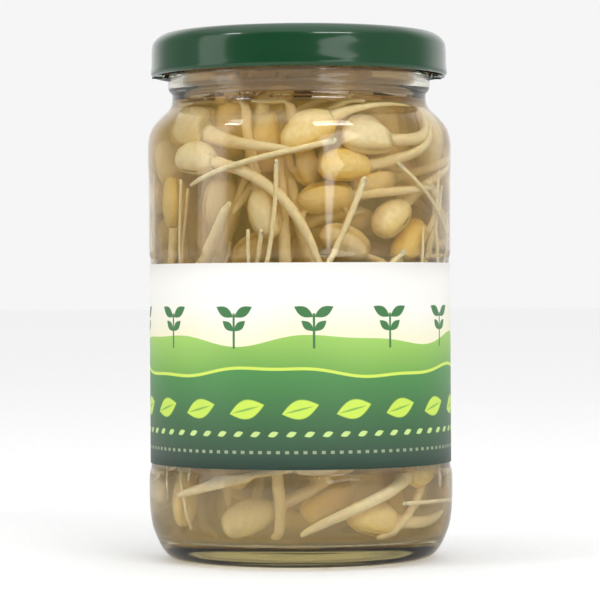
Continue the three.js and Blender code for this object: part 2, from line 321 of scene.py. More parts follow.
def spin_line(places, steps, weld, closed=False):
    """A new mesh: a line through some places, spun once round the upright axis."""
    bm = bmesh.new()
    verts = [bm.verts.new(place) for place in places]
    edges = [bm.edges.new(pair) for pair in zip(verts, verts[1:])]
    if closed:
        edges.append(bm.edges.new((verts[-1], verts[0])))
    bmesh.ops.spin(
        bm, geom=verts + edges, cent=(0, 0, 0), axis=(0, 0, 1), dvec=(0, 0, 0), angle=TURN,
        steps=steps, use_merge=True, use_normal_flip=False, use_duplicate=False)
    bmesh.ops.remove_doubles(bm, verts=bm.verts[:], dist=weld)
    bmesh.ops.recalc_face_normals(bm, faces=bm.faces[:])
    return bm


def spun(profile, steps, closed=False):
    """A new mesh: a profile of (radius, height) in millimetres, spun round the jar's axis."""
    return spin_line([around(0, *place) for place in profile], steps, 1e-6, closed)


def facing_out(face):
    """How far a face looks away from the jar's axis, from -1 to 1."""
    centre = face.calc_center_median()
    return face.normal.dot(Vector((centre.x, centre.y, 0)).normalized())


def add_part(bm, part):
    """Copy the faces of one bmesh into another, and free it."""
    mesh = bpy.data.meshes.new("part")
    part.to_mesh(mesh)
    part.free()
    bm.from_mesh(mesh)
    bpy.data.meshes.remove(mesh)


def shown(name, bm, materials, body, replaced=()):
    """Turn a bmesh into a smooth piece that rides on a body and stands for its CAD nodes."""
    mesh = bpy.data.meshes.new(name)
    for face in bm.faces:
        face.smooth = True
    bm.to_mesh(mesh)
    bm.free()
    for material in materials:
        mesh.materials.append(material)
    piece = bpy.data.objects.new(name, mesh)
    bpy.context.collection.objects.link(piece)
    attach(piece, body)
    if replaced:
        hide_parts(*replaced)
    return piece


# Materials

class Wire:
    """A number that flows through a material, so that its pattern reads as a formula."""

    def __init__(self, socket):
        self.socket = socket

    def math(self, operation, *others):
        node = self.socket.id_data.nodes.new("ShaderNodeMath")
        node.operation = operation
        for slot, value in zip(node.inputs, (self, *others)):
            put(slot, value)
        return Wire(node.outputs[0])

    def __add__(self, other):
        return self.math("ADD", other)

    def __sub__(self, other):
        return self.math("SUBTRACT", other)

    def __mul__(self, other):
        return self.math("MULTIPLY", other)

    def __truediv__(self, other):
        return self.math("DIVIDE", other)

    def over(self, edge, soft):
        """0 below the edge and 1 above it, over a soft step."""
        return ((self - edge) / soft + 0.5).clamped()

    def clamped(self):
        return self.math("MAXIMUM", 0.0).math("MINIMUM", 1.0)


def put(slot, value):
    """Link a wire or an output to a node's input, or set the input to a plain value."""
    source = value.socket if isinstance(value, Wire) else value
    if isinstance(source, bpy.types.NodeSocket):
        slot.id_data.links.new(source, slot)
    else:
        slot.default_value = source


def set_values(node, **values):
    for name, value in values.items():
        put(node.inputs[name.replace("_", " ")], value)


def new_node(tree, kind, **values):
    node = tree.nodes.new(kind)
    set_values(node, **values)
    return node


def new_material(name, **values):
    material = bpy.data.materials.new(name)
    material.use_nodes = True
    tree = material.node_tree
    shader = tree.nodes["Principled BSDF"]
    set_values(shader, **values)
    return material, tree, shader


def noise(tree, size, detail):
    """Noise with features of about the given size in metres, as a wire from 0 to 1."""
    place = new_node(tree, "ShaderNodeTexCoord").outputs["Object"]
    node = new_node(tree, "ShaderNodeTexNoise", Scale=1 / size, Detail=detail, Vector=place)
    return Wire(node.outputs["Fac"])


def glossy_ray(tree):
    """1 where a shiny face mirrors the material or the room, and 0 elsewhere."""
    return Wire(new_node(tree, "ShaderNodeLightPath").outputs["Is Glossy Ray"])


def bump(tree, shader, height, depth):
    node = new_node(tree, "ShaderNodeBump", Strength=1.0, Distance=depth, Height=height)
    set_values(shader, Normal=node.outputs["Normal"])


def blended(tree, share, low, high):
    """A colour between two others; each is an RGB triple or an output socket."""
    node = tree.nodes.new("ShaderNodeMix")
    node.data_type = "RGBA"
    put(node.inputs["Factor"], share)
    for slot, colour in ((node.inputs["A"], low), (node.inputs["B"], high)):
        put(slot, colour if isinstance(colour, bpy.types.NodeSocket) else (*colour, 1))
    return node.outputs["Result"]


def layered(tree, colour, layers):
    """A colour with others laid over it, each through its mask."""
    for mask, over in layers:
        colour = blended(tree, mask, colour, over)
    return colour


def shaded(colour, share, more=0.0):
    """A colour made darker or lighter."""
    return tuple(min(1, part * share + more) for part in colour)


def clear_material(name, ior, shade=(1, 1, 1)):
    """A smooth clear face: lamps shine through it to what stands behind."""
    material, tree, shader = new_material(
        name, Base_Color=(1, 1, 1, 1), Roughness=0.0, IOR=ior, Transmission_Weight=1.0)
    let_lamps_through(tree, shader, shade)
    return material, tree, shader


def let_lamps_through(tree, shader, colour):
    clear = new_node(tree, "ShaderNodeBsdfTransparent", Color=(*colour, 1))
    rays = tree.nodes.new("ShaderNodeLightPath")
    mix = new_node(tree, "ShaderNodeMixShader", Fac=rays.outputs["Is Shadow Ray"])
    put(mix.inputs[1], shader.outputs["BSDF"])
    put(mix.inputs[2], clear.outputs["BSDF"])
    set_values(tree.nodes["Material Output"], Surface=mix.outputs["Shader"])


def fill(tree, kind, colour, **values):
    """Give a clear material a volume of one colour."""
    volume = new_node(tree, kind, Color=(*colour, 1), **values)
    set_values(tree.nodes["Material Output"], Volume=volume.outputs["Volume"])


def tinted_material(name, ior, tint, density):
    """Clear glass or liquid with its colour in its depth."""
    material, tree, shader = clear_material(name, ior, (0.97, 0.98, 0.97))
    fill(tree, "ShaderNodeVolumeAbsorption", tint, Density=density)
    return material, tree, shader


def lacquer_material(colour):
    """Dark lacquer over rolled tinplate: a clear coat with a faint orange peel, and scuffs."""
    material, tree, shader = new_material(
        "lid_lacquer", Specular_IOR_Level=0.15, Coat_Weight=1.0, Coat_Roughness=0.13, Coat_IOR=1.5)
    cloud = noise(tree, 9 * MM, 4)
    set_values(
        shader, Roughness=cloud * 0.16 + 0.26,
        Base_Color=blended(tree, cloud, shaded(colour, 0.82), shaded(colour, 1.18, 0.002)))
    bump(tree, shader, noise(tree, 0.9 * MM, 2), 0.012 * MM)
    return material


def lining_material(colour):
    """The gold-cream lacquer inside the lid."""
    material, tree, shader = new_material("lid_lining")
    cloud = noise(tree, 5 * MM, 3)
    set_values(
        shader, Roughness=cloud * 0.2 + 0.35,
        Base_Color=blended(tree, cloud, shaded(colour, 0.8), colour))
    return material


def liner_material():
    """Soft sealing compound, poured into the channel."""
    material, tree, shader = new_material("liner_compound", Roughness=0.55)
    cloud = noise(tree, 2 * MM, 3)
    set_values(shader, Base_Color=blended(tree, cloud, (0.66, 0.64, 0.56), (0.76, 0.74, 0.67)))
    bump(tree, shader, noise(tree, 0.7 * MM, 2), 0.05 * MM)
    return material


# Jar glass

def outer_profile():
    heel = [(31.6, 0.7), (33.2, 2.6), (34.6, 5.6), (35.6, 8.4), (BODY_R, 13.2)]
    shoulder = [(35.7, 100.6), (34.9, 102.5), (33.2, 104.4), (31.4, 106.0), (30.5, 107.3)]
    return [
        (0, 1.7), (24.5, 1.3), (STAND_R[0], 0), (STAND_R[1], 0),
        *heel,
        (BODY_R, PANEL_Z[0] - 1), (PANEL_R, PANEL_Z[0]),
        (PANEL_R, PANEL_Z[0] + 1.2), (PANEL_R, PANEL_Z[1] - 1.2), (PANEL_R, PANEL_Z[1]),
        (UPPER_R, PANEL_Z[1] + 0.9), (UPPER_R, 73.6), (UPPER_R, 90.5),
        (BODY_R, 93), (BODY_R, SHOULDER_Z),
        *shoulder,
        (NECK_R, 108.6), (NECK_R, 110.2), (BEAD_R, 111.2), (BEAD_R, 113.0), (FINISH_R, 113.6),
    ]


def finish_profile():
    """The thread's wall in fine steps, for its ridges, and the rounded rim."""
    low, high = THREAD_FOOT, RIM_Z - 0.9
    wall = [(FINISH_R, z) for z in between(low, high, 26)]
    rim = [(FINISH_R - 0.1, RIM_Z - 0.5), (FINISH_R - 0.6, RIM_Z), (BORE_R + 0.6, RIM_Z)]
    return [(FINISH_R, low), *wall, (FINISH_R, high), *rim, (BORE_R, RIM_Z - 0.7)]


def inner_profile():
    return [
        (BORE_R, RIM_Z - 3), (BORE_R - 0.1, 115), (27.75, 111), (27.7, BRINE_Z + 0.6),
        (28.8, 106.2), (31.2, 103.4), (32.7, 101.2), (INNER_R, SHOULDER_Z), (INNER_R, 94),
        (INNER_R, 60), (INNER_R, 16), (INNER_R, 12), (32.6, 8.9), (30.6, 6.2), (27.0, FLOOR_Z),
        (20, FLOOR_Z + 0.1), (0, FLOOR_Z + 0.2),
    ]


def raise_thread(bm):
    """Raise each thread start out of the finish wall, fading in and out at its two ends."""
    low = LUG["high"] + LUG_GAP + THREAD_R
    fade = math.radians(7)
    for vert in bm.verts:
        height = vert.co.z / MM
        radius = math.hypot(vert.co.x, vert.co.y) / MM
        if height < THREAD_FOOT or height > RIM_Z - 1 or radius < FINISH_R - 0.3:
            continue
        angle = math.atan2(vert.co.x, -vert.co.y)
        for i in range(START_COUNT):
            turn = (angle - FIRST_LUG - i * TURN / START_COUNT + fade) % TURN - fade
            ends = min(1, (turn + fade) / fade, (THREAD_SPAN + fade - turn) / fade)
            reach = abs(height - low - THREAD_PITCH * turn) / THREAD_R
            if ends > 0 and reach < 1:
                crest = math.sqrt(1 - reach * reach) * (THREAD_R + THREAD_SUNK)
                swell = crest * math.sin(0.5 * math.pi * ends)
                vert.co += around(angle, swell, 0)


class SPROUTJAR_OT_glass(Operator):
    """Spin the jar's glass and raise its thread"""

    bl_idname = "sprout_jar.glass"
    bl_label = "Jar Glass"

    def execute(self, context):
        values = context.scene.jar_glass
        profile = softened(outer_profile()) + finish_profile() + softened(inner_profile())
        bm = spun(profile, values.steps)
        raise_thread(bm)
        glass, tree, shader = tinted_material(
            "jar_glass", values.ior, values.tint, values.tint_density)
        bump(tree, shader, noise(tree, 14 * MM, 1), 0.03 * MM)
        shown("jar_glass_fine", bm, (glass,), BODY, ("jar_glass",))
        return {"FINISHED"}


# Lid and liner

def lid_profile():
    low, high = LID_Z
    panel = high - 1.1
    inside = LID_R - TINPLATE
    return [
        (0, high - 0.8 - TINPLATE), (8, high - 0.9 - TINPLATE), (10.4, panel - TINPLATE),
        (25.1, panel - TINPLATE), (27.5, high - TINPLATE), (31.5, high - TINPLATE),
        (33.8, high - 1.6), (inside, high - 3.3), (inside, low + 2), (34.0, low + 1.1),
        (34.3, low), (34.9, low), (35.4, low + 0.7), (LID_R, low + 2.2),
        (LID_R, high - 3.2), (34.5, high - 1.7), (33.1, high - 0.5), (31.7, high),
        (27.3, high), (24.9, panel), (10.6, panel), (8.2, high - 0.9), (0, high - 0.8),
    ]


def add_lug(bm, angle):
    """A tab of the rolled edge, pressed inwards to catch under the thread."""
    lug = bmesh.new()
    bmesh.ops.create_cube(lug, size=1)
    along = [edge for edge in lug.edges if abs(edge.verts[0].co.x - edge.verts[1].co.x) > 0.5]
    bmesh.ops.subdivide_edges(lug, edges=along, cuts=7, use_grid_fill=True)
    middle = (LUG["low"] + LUG["high"]) / 2
    depth = LUG["outer"] - LUG["inner"]
    for vert in lug.verts:
        pinch = 1 - 0.35 * (2 * abs(vert.co.x)) ** 4
        radius = LUG["outer"] - depth * (0.5 + vert.co.y) * pinch
        turn = angle + vert.co.x * LUG["width"] / LUG["inner"]
        vert.co = around(turn, radius, middle + vert.co.z * (LUG["high"] - LUG["low"]))
    sharp = [edge for edge in lug.edges if edge.calc_face_angle(0) > 0.9]
    bmesh.ops.bevel(
        lug, geom=sharp, offset=0.3 * MM, segments=3, profile=0.5, affect="EDGES", material=-1)
    add_part(bm, lug)


class SPROUTJAR_OT_lid(Operator):
    """Spin the lid with its safety button, rolled edge and lugs, and the liner in its channel"""

    bl_idname = "sprout_jar.lid"
    bl_label = "Lid and Liner"

    def execute(self, context):
        values = context.scene.jar_lid
        steps = context.scene.jar_glass.steps
        bm = spun(softened(lid_profile()), steps)
        for face in bm.faces:
            centre = face.calc_center_median() / MM
            inner = math.hypot(centre.x, centre.y) < LID_R - TINPLATE * 0.75
            under = face.normal.z < -0.2 and centre.z > LID_Z[0] + 2
            inside = inner and facing_out(face) < -0.5 and centre.z > LID_Z[0] + 1.6
            face.material_index = 1 if under or inside else 0
        for i in range(START_COUNT):
            add_lug(bm, FIRST_LUG + i * TURN / START_COUNT)
        bmesh.ops.recalc_face_normals(bm, faces=bm.faces[:])
        looks = (lacquer_material(values.lacquer), lining_material(values.lining))
        shown("lid_fine", bm, looks, "lid", ("lid",))

        low = RIM_Z + LINER_GAP
        high = LID_Z[1] - TINPLATE - LINER_GAP
        ring = [
            (28.1, low + 0.3), (28.6, low), (30.7, low), (31.2, low + 0.3),
            (31.4, high), (27.7, high),
        ]
        bm = spun(ring, steps, closed=True)
        shown("lid_liner_fine", bm, (liner_material(),), "liner", ("lid_liner",))
        return {"FINISHED"}


# Label

def leaf(x, y, root, tilt, length, width):
    """A pointed leaf as a mask: it grows from its root at a tilt, in millimetres."""
    dx, dy = x - root[0], y - root[1]
    c, s = math.cos(math.radians(tilt)), math.sin(math.radians(tilt))
    along = (dx * c + dy * s) / length
    across = (dy * c - dx * s) / (width / 2)
    belly = (along.clamped() * math.pi).math("SINE")
    return (belly - across.math("ABSOLUTE")).over(0.06, 0.12) * along.over(0, 0.02)


def strip(x, y, low, high, half_width):
    """An upright stroke as a mask."""
    inside = y.over(low, 0.1) * (y * -1).over(-high, 0.1)
    return inside * (x.math("ABSOLUTE") * -1).over(-half_width, 0.1)


def label_material(height, length):
    """Coated paper printed with rolling green bands, seedlings and rows of leaves."""
    material, tree, shader = new_material("label_print", Coat_Weight=0.25, Coat_Roughness=0.32)
    uv = tree.nodes.new("ShaderNodeUVMap")
    uv.uv_map = "wrap"
    split = new_node(tree, "ShaderNodeSeparateXYZ", Vector=uv.outputs["UV"])
    across = Wire(split.outputs["X"]) * length
    up = Wire(split.outputs["Y"]) * height

    def wave(period, size, shift):
        return (across * (TURN / period) + shift).math("SINE") * size

    def in_strips(count, shift=1000.0):
        """The distance from the middle of the nearest of so many strips round the label."""
        return (across + shift).math("MODULO", length / count) - length / (2 * count)

    far_hill = wave(length / 5, 1.1, 0.6) + wave(length / 9, 0.5, 2.1) + 29.5
    near_hill = wave(length / 4, 1.0, 2.4) + wave(length / 11, 0.3, 0.4) + 22.5
    sky = blended(tree, (up - far_hill).over(0, 16.0), INKS["low_sky"], INKS["sky"])
    slope = (near_hill - up + 7).over(3, 8.0)
    hill = blended(tree, slope, INKS["hill_top"], INKS["hill_foot"])
    rise = (up / 22.0).clamped().math("POWER", 1.3)
    field = blended(tree, rise, INKS["field_foot"], INKS["field_top"])
    in_field = (near_hill - up).over(0, 0.12)

    seedling_x = in_strips(12)
    seedling = strip(seedling_x, up, 27.5, 35.5, 0.28)
    for side in (seedling_x, seedling_x * -1):
        for root, tilt, reach, width in SEEDLING_LEAVES:
            seedling = seedling.math("MAXIMUM", leaf(side, up, (0, root), tilt, reach, width))

    leaf_x = in_strips(18, 1000 + length / 36)
    colour = layered(tree, sky, (
        ((far_hill - up).over(0, 0.12), hill),
        (in_field, field),
        (in_field * (up - near_hill + 0.7).over(0, 0.12), INKS["field_edge"]),
        (seedling, INKS["seedling"]),
        (leaf(leaf_x, up, (-4.4, 12.6), 14, 9.0, 4.6), INKS["leaf"]),
        (leaf(leaf_x, up, (-3.9, 12.7), 14, 7.4, 0.5), INKS["vein"]),
        (leaf(in_strips(54), up, (-1.3, 7.6), 20, 2.7, 1.3), INKS["small_leaf"]),
        (strip(in_strips(108), up, 3.6, 4.3, 0.45), INKS["dot"]),
    ))
    fibre = noise(tree, 0.5 * MM, 4)
    set_values(shader, Base_Color=colour, Roughness=fibre * 0.14 + 0.42)
    bump(tree, shader, fibre + noise(tree, 11 * MM, 2) * 2, 0.012 * MM)
    return material


def paper_back_material():
    material, tree, shader = new_material("label_back", Roughness=0.8)
    fibre = noise(tree, 0.6 * MM, 4)
    set_values(shader, Base_Color=blended(tree, fibre, (0.62, 0.60, 0.52), (0.74, 0.72, 0.65)))
    return material


class SPROUTJAR_OT_label(Operator):
    """Roll the paper label round the panel, with its overlap glued down at the back"""

    bl_idname = "sprout_jar.label"
    bl_label = "Label"

    def execute(self, context):
        values = context.scene.jar_label
        radius = LABEL_R[0] + 0.06
        girth = TURN * radius
        length = girth + values.overlap / MM
        height = LABEL_Z[1] - LABEL_Z[0]
        bm = bmesh.new()
        bmesh.ops.create_grid(bm, x_segments=220, y_segments=6, size=0.5)
        wrap = bm.loops.layers.uv.new("wrap")
        for face in bm.faces:
            for loop in face.loops:
                run = (loop.vert.co.x + 0.5) * length
                loop[wrap].uv = ((run - girth / 2) / girth, loop.vert.co.y + 0.5)
        for vert in bm.verts:
            run = (vert.co.x + 0.5) * length
            lift = min(1, max(0, (run - girth + 1.5) / 1.5)) * (values.paper / MM + LABEL_LIFT)
            angle = run / radius - math.pi
            vert.co = around(angle, radius + lift, LABEL_Z[0] + height * (vert.co.y + 0.5))
        bmesh.ops.recalc_face_normals(bm, faces=bm.faces[:])
        front = bm.faces[:][0]
        if front.normal.dot(front.calc_center_median()) < 0:
            bmesh.ops.reverse_faces(bm, faces=bm.faces[:])
        bmesh.ops.solidify(bm, geom=bm.faces[:], thickness=values.paper)
        for face in bm.faces:
            face.material_index = 0 if facing_out(face) > 0.5 else 1
        looks = (label_material(height, girth), paper_back_material())
        shown("label_fine", bm, looks, BODY, ("label",))
        return {"FINISHED"}


# Brine

def cloud_material(colour, density):
    """The fine cloud of starch in the brine, which takes light from all sides."""
    material, tree, shader = clear_material("brine_cloud", 1.0)
    fill(tree, "ShaderNodeVolumeScatter", colour, Density=density, Anisotropy=0.3)
    return material


def film_material(colour):
    """The brine's film on the glass above its surface: tan, uneven and half dried."""
    material, tree, shader = new_material(
        "brine_film", Base_Color=(*colour, 1), Roughness=0.16, IOR=1.34, Transmission_Weight=0.8)
    bump(tree, shader, noise(tree, 2.2 * MM, 4), 0.10 * MM)
    let_lamps_through(tree, shader, colour)
    return material


def crumb_material():
    """Scraps of seed coat: tan and brown by place."""
    material, tree, shader = new_material("seed_coat", Roughness=0.4)
    cloud = ((noise(tree, 3 * MM, 3) - 0.5) * 3 + 0.5).clamped()
    set_values(shader, Base_Color=blended(tree, cloud, (0.24, 0.13, 0.05), (0.70, 0.52, 0.26)))
    bump(tree, shader, noise(tree, 0.6 * MM, 3), 0.05 * MM)
    return material


def add_crumb(bm, draw):
    """A curled scrap of seed coat, at the brine's line or stuck to the glass above it."""
    part = bmesh.new()
    bmesh.ops.create_icosphere(part, subdivisions=2, radius=MM)
    size = draw(0.2, 0.6) + draw(0, 0.5) ** 2
    bmesh.ops.scale(part, vec=(size, 0.3 * size, draw(0.3, 0.8) * size), verts=part.verts[:])
    for vert in part.verts:
        vert.co += vert.co * (0.35 * math.sin(5 * vert.co.x / MM + 3 * vert.co.z / MM + size))
    low = draw(0, 1) < 0.75
    height = BRINE_Z - 0.6 + draw(0, 1) ** 2 * 2.4 if low else draw(BRINE_Z + 1, 115)
    gathered = math.radians(draw(-52, -8))
    angle = gathered if draw(0, 1) < 0.35 else draw(-math.pi, math.pi)
    place = around(angle, 27.1 - draw(0, 0.6), height)
    turned = Matrix.Rotation(angle, 4, "Z") @ Matrix.Rotation(draw(-1.4, 1.4), 4, "Y")
    bmesh.ops.transform(part, matrix=Matrix.Translation(place) @ turned, verts=part.verts[:])
    add_part(bm, part)


def add_bubbles(bm, draw, count):
    """A cluster of air bubbles caught between the sprouts and the glass."""
    angle, height = draw(-math.pi, math.pi), draw(12, 103)
    for _ in range(count):
        size = draw(0.12, 0.42)
        reach = float(room_radius(height)) + 0.5 - size - draw(0, 1.2)
        place = around(angle + draw(-0.06, 0.06), reach, height + draw(-2, 2))
        part = bmesh.new()
        bmesh.ops.create_icosphere(
            part, subdivisions=2, radius=size * MM, matrix=Matrix.Translation(place))
        add_part(bm, part)


class SPROUTJAR_OT_brine(Operator):
    """Fill the jar with brine, a hair into the glass so that no air is left between them"""

    bl_idname = "sprout_jar.brine"
    bl_label = "Brine"

    def execute(self, context):
        values = context.scene.jar_brine
        reach = values.reach / MM
        wall = [(r + reach if r else 0, z - reach) for r, z in softened(inner_profile())
                if z < BRINE_Z]
        edge = wall[0][0]
        surface = [(edge - inset, BRINE_Z + rise) for inset, rise in MENISCUS]
        bm = spun([(0, surface[0][1]), *surface, *wall], context.scene.jar_glass.steps)
        brine = tinted_material("brine", values.ior, values.colour, values.density)[0]
        shown("brine_fine", bm, (brine,), BODY, ("brine",))

        inset = [(max(0, r - 2 * reach), z + 2 * reach) for r, z in wall]
        top = BRINE_Z - CLOUD["under"]
        bm = spun([(0, top), (inset[0][0], top), *inset], CLOUD["steps"])
        cloud = cloud_material(values.cloud, values.cloud_density)
        shown("brine_cloud", bm, (cloud,), BODY)

        on_glass = [(FILM["radius"], z) for z in between(BRINE_Z + FILM["above"], FILM["top"], 12)]
        inwards = [(r - FILM["thickness"], z) for r, z in reversed(on_glass)]
        bm = spun(on_glass + inwards, FILM["steps"], closed=True)
        shown("brine_film", bm, (film_material(tuple(values.film)),), BODY)

        bm = bmesh.new()
        draw = Draws(SEED + 2)
        for _ in range(values.crumbs):
            add_crumb(bm, draw)
        shown("seed_coat_crumbs", bm, (crumb_material(),), BODY)

        bm = bmesh.new()
        for _ in range(values.bubble_clusters):
            add_bubbles(bm, draw, BUBBLES_EACH)
        air = clear_material("air_bubble", 1 / values.ior)[0]
        shown("air_bubbles", bm, (air,), BODY)
        return {"FINISHED"}


# Sprouts

class Draws:
    """A small repeatable number source, so that the sprouts always fall the same way."""

    def __init__(self, seed):
        self.state = seed

    def __call__(self, low, high):
        self.state = (self.state * 16807) % 2147483647
        return low + ((high - low) * self.state) / 2147483647


def spot(angle, radius, height):
    """A place round the jar in millimetres, as exact as the placing rule needs it."""
    return np.array((radius * math.sin(angle), -radius * math.cos(angle), height))


def unit(vector):
    return vector / math.sqrt(float(vector @ vector))


def room_radius(height):
    heel = ROOM_R - ROOM_HEEL["slope"] * np.maximum(0, ROOM_HEEL["top"] - height)
    shoulder = ROOM_R - ROOM_SHOULDER["slope"] * np.maximum(0, height - ROOM_SHOULDER["foot"])
    return np.minimum(heel, shoulder)


class Sprout:
    """A bean's centre, axes and half sizes, and the bending path of its stalk."""

    def __init__(self, centre, stalk, draw):
        lie, self.length, rise = stalk
        outward = unit(np.array((centre[0], centre[1], 0.0)))
        sideways = np.array((-outward[1], outward[0], 0.0))
        up = np.array((0.0, 0.0, 1.0))
        axis = sideways * math.cos(math.radians(lie)) + up * math.sin(math.radians(lie))
        self.axis = unit(axis + outward * draw(-0.25, 0.1))
        spin = draw(-1.2, 1.2)
        across = unit(np.cross(outward, self.axis))
        flat = np.cross(self.axis, across)
        self.across = across * math.cos(spin) + flat * math.sin(spin)
        self.flat = flat * math.cos(spin) - across * math.sin(spin)
        self.centre = centre
        self.size = [draw(*BEAN[side]) / 2 for side in ("length", "width", "thickness")]
        self.radius = draw(*STALK["radius"])
        bend = up * rise + outward * draw(-0.4, 0.4)
        self.bend = bend + sideways * draw(-0.4, 0.4)
        self.press = 0.0

    def stalk_radius(self, t):
        taper = 1 - 0.35 * t - 0.65 * t ** 6
        return STALK["root"] + (self.radius - STALK["root"]) * taper

    def stalk_points(self, t):
        """Points of the stalk for shares of its length: 0 is in the bean, 1 is the root."""
        t = np.asarray(t, float)[:, None]
        run = t * self.length
        points = self.centre + self.axis * (self.size[0] - STALK_SINK + run)
        points = points + self.bend * (0.55 * run * t)
        radius = self.stalk_radius(t[:, 0])
        points[:, 2] = np.clip(points[:, 2], ROOM_Z[0] + radius, ROOM_Z[1] - radius)
        reach = np.hypot(points[:, 0], points[:, 1])
        limit = room_radius(points[:, 2]) + self.press - radius
        points[:, :2] *= np.where(reach > limit, limit / reach, 1.0)[:, None]
        return points

    def bean_balls(self):
        places = np.array((0, -0.5, 0.5))[:, None]
        radii = self.size[1] * np.array((1, 0.86, 0.86))
        return np.column_stack((self.centre + self.axis * places * self.size[0], radii))

    def stalk_balls(self):
        count = math.ceil(self.length / BALL_STEP)
        t = np.arange(count + 1) / count
        return np.column_stack((self.stalk_points(t), self.stalk_radius(t)))


class Jarful:
    """The sprouts placed so far, as balls, and the rule that finds room for another."""

    def __init__(self, draw):
        self.draw = draw
        self.balls = np.zeros((0, 4))
        self.gap = SPROUT_GAP
        self.press = BEAN_PRESS
        self.depth = (0, TANGLE_DEPTH)

    def inside(self, balls):
        reach = np.hypot(balls[:, 0], balls[:, 1])
        wide = reach < room_radius(balls[:, 2]) - balls[:, 3] + self.press
        above = balls[:, 2] > ROOM_Z[0] + balls[:, 3]
        below = balls[:, 2] < ROOM_Z[1] - balls[:, 3]
        return bool(np.all(wide & above & below))

    def apart(self, balls):
        steps = balls[:, None, :3] - self.balls[None, :, :3]
        room = balls[:, None, 3] + self.balls[None, :, 3] + self.gap
        return bool(np.all(np.einsum("ijk,ijk->ij", steps, steps) > room * room))

    def fitted(self, sprout):
        bean = sprout.bean_balls()
        if not self.inside(bean) or not self.apart(bean):
            return None
        stalk = sprout.stalk_balls()
        return np.vstack((bean, stalk)) if self.apart(stalk) else None

    def front_sprout(self, place):
        angle, height, *stalk = place
        slide = 0.0
        while True:
            depth = BEAN_DEPTH + self.draw(0, slide)
            radius = float(room_radius(height)) - depth
            sprout = Sprout(spot(math.radians(angle), radius, height), stalk, self.draw)
            balls = self.fitted(sprout)
            if balls is not None:
                self.balls = np.vstack((self.balls, balls))
                return [sprout]
            slide += SLIDE_STEP

    def any_stalk(self):
        lie = self.draw(-180, 180)
        length = self.draw(*STALK["length"])
        return lie, length, self.draw(-0.9, 0.9)

    def any_centre(self):
        behind = self.draw(0, 1) < BEHIND_SHARE
        half = 0.5 * math.pi
        angle = self.draw(half, 3 * half) if behind else self.draw(-half, half)
        clear = self.draw(0, 1) < CLEAR_SHARE
        height = self.draw(LABEL_Z[1], ROOM_Z[1]) if clear else self.draw(ROOM_Z[0], LABEL_Z[1])
        radius = float(room_radius(height)) - BEAN_DEPTH - self.draw(*self.depth)
        return spot(angle, radius, height)

    def tangle(self):
        while True:
            centre = self.any_centre()
            first = Sprout(centre, self.any_stalk(), self.draw)
            balls = self.fitted(first)
            for _ in range(ATTEMPTS if balls is not None else 0):
                hold = first.stalk_points([self.draw(0.45, 0.85)])[0]
                second = Sprout(hold, self.any_stalk(), self.draw)
                more = self.fitted(second)
                if more is not None:
                    self.balls = np.vstack((self.balls, balls, more))
                    return [first, second]

    def loose_sprouts(self, count):
        """More sprouts, pressed among the others wherever there is room in reach."""
        found = []
        for _ in range(count * LOOSE_ATTEMPTS):
            sprout = Sprout(self.any_centre(), self.any_stalk(), self.draw)
            balls = self.fitted(sprout)
            if balls is not None:
                self.balls = np.vstack((self.balls, balls))
                found.append(sprout)
                if len(found) == count:
                    break
        return found


def floating_sprouts(count, draw):
    """Sprouts that stand in the neck, with their beans out of the brine and their stalks in it."""
    found = []
    for i in range(count):
        angle = TURN * (i + draw(-0.3, 0.3)) / count
        radius = draw(14, 21.5) if i % 3 else draw(3, 11)
        centre = spot(angle, radius, BRINE_Z + draw(-1.5, 2.2))
        stalk = (draw(-150, -30), draw(24, 34), draw(-0.9, -0.2))
        found.append(Sprout(centre, stalk, draw))
    return found


def root_threads(count, draw):
    """Thin roots pressed between the beans and the glass, most of them upright."""
    found = []
    for _ in range(count):
        angle = draw(-math.pi, math.pi)
        height = draw(14, 100)
        centre = around(angle, ROOM_R, height) / MM
        lie = (90 if height < 60 else -90) + draw(-1, 1) ** 3 * 90
        thread = Sprout(np.array(centre), (lie, draw(28, 62), draw(-0.3, 0.3)), draw)
        thread.radius = draw(*THREAD_ROOT["radius"])
        thread.size = [THREAD_ROOT["end"], thread.radius, thread.radius]
        thread.press = THREAD_ROOT["press"]
        found.append(thread)
    return found


